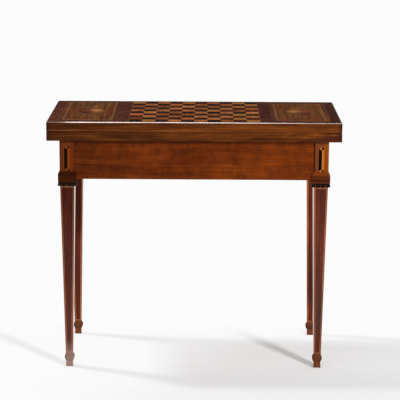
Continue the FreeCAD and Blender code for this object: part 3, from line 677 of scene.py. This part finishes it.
def painted_light_on_right_block(tree, place, colour):
    """Painted light on the right corner block: browner by the apron, lighter orange at the table's corner.
    """
    browned = linear(100, 61, 32)
    lit_orange = linear(146, 74, 19)
    x, y, z = split(tree, place)
    above_collar = remap(tree, z, (COLLAR_TOP - 0.008, COLLAR_TOP - 0.002), to=(0.0, 0.5))
    share = product(tree, above_collar, below(tree, y, FRONT_FACES), beyond(tree, x, 0.0))
    tint = mix(tree, fade(tree, x, (LEG_SIDE - 0.016, LEG_SIDE + 0.016)), browned, lit_orange)
    return mix(tree, share, colour, tint)


def painted_shade_under_collar(tree, place, colour):
    """Painted shade between the ebonised cones, under the collar."""
    dirt_and_shade = linear(30, 12, 8)
    z = z_of(tree, place)
    above_shaft = fade(tree, z, (SHAFT_TOP - 0.001, SHAFT_TOP + 0.0025), to=(0.0, 0.85))
    share = product(tree, above_shaft, below(tree, z, COLLAR_BASE + 0.0005))
    return mix(tree, share, colour, dirt_and_shade)


def pale_top_line(tree, place, colour):
    """The line across the top of each taper is the least worn and the palest."""
    pale_line = linear(166, 126, 100)
    share = fade(tree, z_of(tree, place), (SHAFT_TOP - 0.0075, SHAFT_TOP - 0.0060), to=(0.0, 0.8))
    return mix(tree, share, colour, pale_line)


def spotted_feet_and_glare(tree, place, colour):
    """Painted glare makes the left front foot pale, and the other feet are spotted."""
    spot = linear(98, 62, 46)
    glare_colour = linear(160, 138, 128)
    x, y, z = split(tree, place)
    left_front = product(tree, below(tree, x, 0.0), below(tree, y, 0.0))
    others = difference(tree, 1.0, left_front)
    speckle = noise(tree, place, scale=170.0, rough=0.7)
    spots = fade(tree, speckle, (0.42, 0.58), to=(0.25, 0.9))
    near_floor = fade(tree, z, (0.038, 0.055), to=(0.9, 0.0))
    colour = mix(tree, product(tree, spots, near_floor, others), colour, spot)
    up_the_ankle = fade(tree, z, (0.012, 0.095), to=(0.70, 0.0))
    return mix(tree, product(tree, up_the_ankle, left_front), colour, glare_colour)


def flute_shading(tree, place, colour):
    """Scorched in hot sand: paler by the black strip, browner away from it; painted shade dulls the left
    flutes.
    """
    away = remap(tree, leg_place(tree, place), (FLUTE_SPLIT, FLUTE_BROWNEST))
    on_left = ramp(tree, away, (0.0, linear(112, 62, 28)), (0.45, linear(122, 47, 8)),
                   (1.0, linear(108, 31, 0)))
    on_right = ramp(tree, away, (0.1, linear(174, 108, 50)), (0.40, linear(182, 106, 34)),
                    (1.0, linear(127, 47, 3)))
    tint = mix(tree, beyond(tree, x_of(tree, place), 0.0), on_left, on_right)
    return mix(tree, FLUTE_TINT, colour, tint)


# Painted light and shade: the collars are lighter on the right and darker on the left.
def collar_shading(tree, place, colour):
    """The collar's upper slope keeps the block's colour on the right, and is dark on the left."""
    left_slope = linear(84, 36, 15)
    right_slope = linear(120, 56, 17)
    x, _, z = split(tree, place)
    left_collar = product(tree, beyond(tree, z, MID_SHAFT), below(tree, x, 0.0))
    colour = scaled(tree, colour, times_plus(tree, left_collar, -0.28, 1.0))
    near_block = fade(tree, z, (COLLAR_SHOULDER + 0.001, COLLAR_TOP), to=(0.0, 0.7))
    colour = mix(tree, product(tree, near_block, left_collar), colour, left_slope)
    on_slope = fade(tree, z, (COLLAR_SHOULDER - 0.002, COLLAR_SHOULDER + 0.002), to=(0.0, 0.8))
    return mix(tree, product(tree, on_slope, beyond(tree, x, 0.0)), colour, right_slope)


# ---- the woods of the carcass ----

CARCASS_SHADES = ((120, 84, 50), (150, 108, 66), (176, 134, 88))
CARCASS = wood("carcass_wood", CARCASS_SHADES, "X", RAW)
SIDE_CARCASS = wood("carcass_wood_side", CARCASS_SHADES, "Y", RAW)
FLY_RAIL = wood("fly_rail_wood", ((132, 88, 54), (162, 114, 72), (184, 138, 92)), "X", PLANED)
LEAF_CORE = wood("leaf_core_wood", ((104, 70, 42), (134, 94, 58), (160, 118, 76)), "X", RAW)
APRON = wood(
    "apron_wood", ((76, 28, 2), (102, 41, 4), (133, 61, 13)), apron_grain, WAXED,
    curl=1.4, lines_across=190, blotch=((130, 56, 8), 0.4),
    change=in_turn(painted_light_end_to_end(0.66, 1.12), mottled, painted_shadow_under_leaf))


# ---- the woods of the leaves ----

UPPER_EDGE = wood(
    "upper_leaf_edge_wood", ((42, 17, 4), (95, 45, 11), (160, 90, 32)), lipping_grain, WAXED,
    curl=0.5, lines_across=210, streak_share=0.30,
    change=in_turn(painted_light_end_to_end(0.68, 0.93), paler_below, highlight_and_grime_at_seam, darker_ends, painted_highlight_on_arris,
                   dark_back))
LOWER_EDGE = wood(
    "lower_leaf_edge_wood", ((42, 18, 4), (92, 43, 10), (154, 88, 29)), lipping_grain, WAXED,
    curl=1.6, lines_across=210, streak_share=0.30, offset=LOG_JUMP,
    change=in_turn(painted_light_end_to_end(0.41, 0.96), highlight_and_grime_at_seam, darker_ends, dark_heart))
CROSSBAND = wood(
    "crossband_wood", ((46, 18, 10), (76, 35, 21), (106, 55, 33)), crossband_grain, MATT,
    offset=piece_offset(0.052), blotch=((56, 25, 29), 0.4),
    change=in_turn(painted_light_end_to_end(1.20, 0.75), dark_back))
BORDER = wood(
    "panel_border_wood", ((64, 31, 14), (90, 47, 22), (116, 67, 33)), "Y", MATT,
    curl=0.3, offset=piece_offset(0.08), change=darker_inwards)
FIELD = wood(
    "panel_field_wood", ((59, 30, 8), (93, 53, 19), (133, 82, 36)), "Y", MATT,
    curl=2.2, blotch=((106, 42, 12), 0.5))
PANEL_LINE = wood("panel_line_wood", ((96, 60, 36), (118, 79, 51), (140, 98, 67)), "X", MATT)
BOARD_LINE = wood("board_line_wood", ((86, 52, 22), (110, 72, 35), (132, 92, 50)), "X", MATT)
LIGHT_SQUARE = wood(
    "light_square_wood", ((109, 54, 22), (143, 80, 36), (176, 109, 56)), "Y", MATT,
    curl=0.5, offset=square_offset, tone=square_tone(0.26),
    change=square_tint(((0.66, (162, 84, 42)), (0.84, (134, 94, 40)))))
DARK_SQUARE = wood(
    "dark_square_wood", ((18, 8, 3), (36, 15, 6), (58, 25, 10)), "Y", MATT,
    curl=0.3, offset=square_offset, tone=square_tone(0.3),
    change=square_tint(((0.72, (74, 23, 9)), (0.90, (28, 17, 18)))))
MEDALLION_RIM = wood("medallion_rim_wood", ((84, 50, 20), (106, 66, 30), (128, 86, 42)), "Y", MATT)
MEDALLION_GROUND = wood(
    "medallion_ground_wood", ((80, 42, 14), (104, 58, 22), (126, 76, 31)), "Y", MATT,
    curl=0.6, change=sand_shaded((152, 94, 46), (92, 36, 15)))
MEDALLION_PETAL = wood(
    "medallion_petal_wood", ((118, 74, 34), (148, 96, 48), (176, 126, 70)), "Y", MATT,
    curl=0.2, change=sand_shaded((182, 124, 76), (108, 50, 25)))


# ---- the woods of the legs ----

LEG = wood(
    "leg_wood", ((74, 30, 8), (106, 46, 14), (138, 68, 24)), "Z", POLISHED,
    curl=0.5, blotch=((132, 56, 14), 0.4), bare=end_grain,
    change=in_turn(painted_light_and_bloom_on_legs, painted_light_on_right_block, block_joint, painted_shadow_under_leaf, painted_shade_under_collar, spotted_feet_and_glare))
LEG_STRIP = wood(
    "leg_strip_wood", ((48, 16, 7), (70, 25, 12), (96, 41, 20)), "Z", POLISHED,
    curl=0.2, change=in_turn(painted_light_and_bloom_on_legs, spotted_feet_and_glare))
LEG_LINE = wood(
    "leg_line_wood", ((116, 68, 38), (146, 92, 56), (174, 122, 80)), "Z", POLISHED,
    change=in_turn(painted_light_and_bloom_on_legs, pale_top_line, spotted_feet_and_glare))
FLUTE_LIGHT = wood(
    "flute_light_wood", ((156, 94, 40), (184, 122, 60), (204, 148, 86)), "Z", DULL, change=flute_shading)
FLUTE_SHADOW = wood("ebonised_wood", ((10, 3, 1), (17, 6, 2), (32, 13, 6)), "Z", MATT)
MOULDING = wood(
    "moulding_wood", ((44, 17, 7), (70, 31, 14), (98, 50, 22)), "X", DULL,
    curl=0.2, change=in_turn(painted_light_and_bloom_on_legs, collar_shading, spotted_feet_and_glare))
CONE = wood("ebonised_cone_wood", ((9, 5, 3), (16, 9, 6), (34, 19, 12)), "Z", EBONISED)


# ---- brass, steel and baize ----

def metal(name, colour, dull, smoothest, roughest):
    """Old metal with dull spots, and fine scratches along X."""
    material, tree, surface, place = start_material(name)
    spots = noise(tree, place, scale=160.0, detail=5.0, rough=0.6)
    stretched = vector_math(tree, "MULTIPLY", place, (60, 900, 900))
    scratches = noise(tree, stretched, scale=1.0, detail=2.0)
    tarnish = fade(tree, spots, (0.4, 0.7), to=(0.0, 0.7))
    shade = mix(tree, tarnish, linear(*colour), linear(*dull))
    surface.inputs["Metallic"].default_value = 1.0
    finish_surface(tree, surface, shade, remap(tree, scratches, (0.3, 0.7), to=(smoothest, roughest)))
    add_relief(tree, surface, scratches, depth=0.00004)
    return material


def baize_cloth(name):
    """Green felt, worn paler in places."""
    material, tree, surface, place = start_material(name)
    felt = noise(tree, place, scale=1800.0, rough=0.7)
    worn = noise(tree, place, scale=6.0, detail=4.0, rough=0.6)
    lightness = times_plus(tree, felt, 0.55, product(tree, worn, 0.45))
    colour = ramp(tree, lightness, (0.36, linear(20, 44, 26)), (0.52, linear(38, 78, 46)),
                  (0.68, linear(72, 112, 70)))
    surface.inputs["Sheen Weight"].default_value = 0.12
    surface.inputs["Sheen Roughness"].default_value = 0.5
    surface.inputs["Sheen Tint"].default_value = linear(96, 140, 96)
    finish_surface(tree, surface, colour, remap(tree, felt, (0.3, 0.7), to=(0.8, 1.0)), specular=0.15)
    add_relief(tree, surface, felt, depth=0.0004)
    return material


BRASS = metal("old_brass", (176, 138, 74), (92, 66, 34), smoothest=0.25, roughest=0.5)
STEEL = metal("old_steel", (120, 116, 110), (62, 54, 48), smoothest=0.35, roughest=0.6)
BAIZE = baize_cloth("green_baize")


# ---- a material for each node ----

# The first entry whose text is in a node's name gives its material.
NODE_MATERIALS = (
    ("hinge_", BRASS), ("screws", STEEL), ("knuckle_pins", STEEL), ("baize", BAIZE),
    ("inner_band", CROSSBAND), ("top_crossbanding", CROSSBAND),
    ("upper_leaf_lipping", UPPER_EDGE), ("lower_leaf_lipping", LOWER_EDGE), ("leaf_core", LEAF_CORE),
    ("board_dark", DARK_SQUARE), ("board_light", LIGHT_SQUARE), ("board_stringing", BOARD_LINE),
    ("panel_stringing", PANEL_LINE), ("panel_borders", BORDER), ("panel_fields", FIELD),
    ("medallion_rims", MEDALLION_RIM), ("medallion_grounds", MEDALLION_GROUND),
    ("medallion_petals", MEDALLION_PETAL), ("apron_veneers", APRON), ("centre_strips", LEG_STRIP),
    ("flute_lights", FLUTE_LIGHT), ("flute_shadows", FLUTE_SHADOW), ("guttae", CONE),
    ("mouldings", MOULDING), ("stringing", LEG_LINE), ("side_rail", SIDE_CARCASS),
    ("fly_rail", FLY_RAIL), ("centre_back_rail", FLY_RAIL), ("_leg", LEG), ("", CARCASS),
)
for name, item in frame["nodes"].items():
    material = next(material for text, material in NODE_MATERIALS if text in name)
    item.data.materials.clear()
    item.data.materials.append(material)


# ---- the baize linings ----

FELT_COLUMNS = 96
FELT_ROWS = 40
ROLLED_EDGE = 0.35


def mesh_object(name, shape):
    """An object in the scene from a finished shape."""
    mesh = bpy.data.meshes.new(name)
    shape.to_mesh(mesh)
    shape.free()
    made = bpy.data.objects.new(name, mesh)
    scene.collection.objects.link(made)
    return made


def sunk(x, y, at_edge):
    """How far the felt's face lies under its full thickness, as a share of it."""
    if at_edge:
        return ROLLED_EDGE
    return 0.06 + 0.05 * math.sin(41 * x + 3 * math.sin(23 * y)) * math.cos(57 * y)


def felt_points(shape, low, high, height, depth):
    """Rows of points over one side of a sheet, at a height that sinks by its share of a depth."""
    rows = []
    for row in range(FELT_ROWS + 1):
        points = []
        for column in range(FELT_COLUMNS + 1):
            x = low.x + (high.x - low.x) * column / FELT_COLUMNS
            y = low.y + (high.y - low.y) * row / FELT_ROWS
            at_edge = column in (0, FELT_COLUMNS) or row in (0, FELT_ROWS)
            points.append(shape.verts.new((x, y, height - depth * sunk(x, y, at_edge))))
        rows.append(points)
    return rows


def felt_faces(shape, glued, napped, face_up):
    """The faces of the glued side and of the napped side."""
    for row in range(FELT_ROWS):
        for column in range(FELT_COLUMNS):
            for rows, turned in ((glued, face_up), (napped, not face_up)):
                near, far = rows[row], rows[row + 1]
                corners = [near[column], near[column + 1], far[column + 1], far[column]]
                shape.faces.new(corners[::-1] if turned else corners)


def felt_rim(shape, glued, napped):
    """The narrow faces that join both sides all round."""
    rim = [(0, column) for column in range(FELT_COLUMNS)]
    rim += [(row, FELT_COLUMNS) for row in range(FELT_ROWS)]
    rim += [(FELT_ROWS, FELT_COLUMNS - column) for column in range(FELT_COLUMNS)]
    rim += [(FELT_ROWS - row, 0) for row in range(FELT_ROWS)]
    for (row, column), (next_row, next_column) in zip(rim, rim[1:] + rim[:1]):
        shape.faces.new([glued[row][column], glued[next_row][next_column],
                         napped[next_row][next_column], napped[row][column]])


def baize_sheet(name, node, body):
    """A felt sheet glued on its leaf, with a soft rolled edge and a slightly uneven face."""
    low, _, high = box_of(node)
    face_up = body == "frame"
    bottom, top = (low.z, high.z) if face_up else (high.z, low.z)
    shape = bmesh.new()
    glued = felt_points(shape, low, high, bottom, depth=0.0)
    napped = felt_points(shape, low, high, top, depth=top - bottom)
    felt_faces(shape, glued, napped, face_up)
    felt_rim(shape, glued, napped)
    bmesh.ops.recalc_face_normals(shape, faces=shape.faces)
    made = mesh_object(name, shape)
    for face in made.data.polygons:
        face.use_smooth = True
    made.data.materials.append(BAIZE)
    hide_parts(node)
    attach(made, body)


baize_sheet("lower_baize_lining", "lower_leaf_baize", "frame")
baize_sheet("upper_baize_lining", "upper_leaf_baize", "upper_leaf")


# ---- the view, the lamps and the floor ----

AMBIENT = 0.48
WHITE = 0.972
CEILING = 0.06
FLOOR_HALF_SIZE = 15
FLOOR_GAP = 0.0002


def camera():
    """A long lens above the table top, five metres in front."""
    place = (0.03331, -5.0536, 1.54738)
    pitch = math.radians(11.932)
    yaw = math.radians(-0.181)
    roll = math.radians(-0.309)
    forward = Vector((math.sin(yaw) * math.cos(pitch), math.cos(yaw) * math.cos(pitch), -math.sin(pitch)))
    right = Vector((math.cos(yaw), -math.sin(yaw), 0))
    down = forward.cross(right)
    tilted_right = math.cos(roll) * right + math.sin(roll) * down
    tilted_down = -math.sin(roll) * right + math.cos(roll) * down
    data = bpy.data.cameras.new("camera")
    data.sensor_width = 36
    data.lens = 150.3846
    data.clip_end = 50
    made = bpy.data.objects.new("camera", data)
    axes = Matrix((tilted_right, -tilted_down, -forward)).transposed()
    made.matrix_world = Matrix.Translation(place) @ axes.to_4x4()
    scene.collection.objects.link(made)
    scene.camera = made


def softbox(name, place, aim, width, height, power):
    """A rectangular lamp that points at a place; its power is in watts."""
    data = bpy.data.lights.new(name, "AREA")
    data.shape = "RECTANGLE"
    data.size = width
    data.size_y = height
    data.energy = power
    made = bpy.data.objects.new(name, data)
    made.location = place
    made.rotation_mode = "QUATERNION"
    made.rotation_quaternion = (Vector(aim) - Vector(place)).to_track_quat("-Z", "Y")
    scene.collection.objects.link(made)


def seen_directly(tree):
    """1 for rays from the camera and for what gloss and glass show."""
    paths = tree.nodes.new("ShaderNodeLightPath").outputs
    return largest(tree, paths["Is Camera Ray"], paths["Is Glossy Ray"], paths["Is Transmission Ray"])


def world():
    """Even light, a white backdrop, and a dim ceiling that polish and brass show above it."""
    made = bpy.data.worlds.new("studio")
    scene.world = made
    made.use_nodes = True
    tree = made.node_tree
    tree.nodes.clear()
    soft = add(tree, "Background", grey(1), AMBIENT)
    height = z_of(tree, tree.nodes.new("ShaderNodeTexCoord").outputs["Generated"])
    to_ceiling = fade(tree, height, (0.02, 0.15), to=(WHITE, CEILING))
    by_camera = tree.nodes.new("ShaderNodeLightPath").outputs["Is Camera Ray"]
    strength = largest(tree, to_ceiling, product(tree, by_camera, WHITE))
    backdrop = add(tree, "Background", grey(1), strength)
    shown = add(tree, "MixShader", seen_directly(tree), soft.outputs[0], backdrop.outputs[0])
    tree.links.new(shown.outputs[0], tree.nodes.new("ShaderNodeOutputWorld").inputs[0])


def paper_colour(tree, place, grain):
    """Pale paper, with painted shade that greys it in front of the table and to the right."""
    paper = ramp(tree, grain, (0.3, grey(0.95)), (0.7, grey(0.97)))
    x, y, _ = split(tree, place)
    in_front = remap(tree, y, (-0.45, -0.15), to=(1.0, 0.0))
    greyed = product(tree, in_front, remap(tree, x, (-0.50, 0.35), to=(0.05, 0.17)))
    return scaled(tree, paper, difference(tree, 1.0, greyed))


def backdrop_share(tree, place):
    """How much of the white backdrop the floor takes: behind the table, to its left, and far away."""
    x, y, _ = split(tree, place)
    behind = fade(tree, y, (-0.08, 0.30))
    leftward = times_plus(tree, y, 0.6, product(tree, x, -1.0))
    on_left = fade(tree, leftward, (-0.28, 0.12), to=(0.18, 0.56))
    distance = add(tree, "VectorMath", place, operation="LENGTH").outputs[1]
    far_away = fade(tree, distance, (0.9, 1.9))
    return largest(tree, behind, on_left, far_away)


def floor():
    """A pale floor that keeps the table's shadow and turns into the white backdrop behind it."""
    shape = bmesh.new()
    bmesh.ops.create_grid(shape, x_segments=1, y_segments=1, size=FLOOR_HALF_SIZE)
    made = mesh_object("floor", shape)
    made.location.z = -FLOOR_GAP
    material, tree, surface, place = start_material("floor_paper")
    grain = noise(tree, place, scale=40.0)
    finish_surface(tree, surface, paper_colour(tree, place, grain), rough=0.9, specular=0.0)
    add_relief(tree, surface, grain, depth=0.0001)
    backdrop = add(tree, "Emission", grey(1), WHITE)
    share = product(tree, backdrop_share(tree, place), seen_directly(tree))
    shown = add(tree, "MixShader", share, surface.outputs[0], backdrop.outputs[0])
    output = next(item for item in tree.nodes if item.type == "OUTPUT_MATERIAL")
    tree.links.new(shown.outputs[0], output.inputs[0])
    made.data.materials.append(material)


camera()
world()
floor()
softbox("high_left", place=(-2.72, 0.80, 5.0), aim=(0, 0, 0.5), width=0.35, height=0.95, power=100)
softbox("low_right", place=(2.9, -4.3, 3.6), aim=(0, 0, 0.4), width=0.6, height=0.6, power=222)
scene.view_settings.view_transform = "Standard"
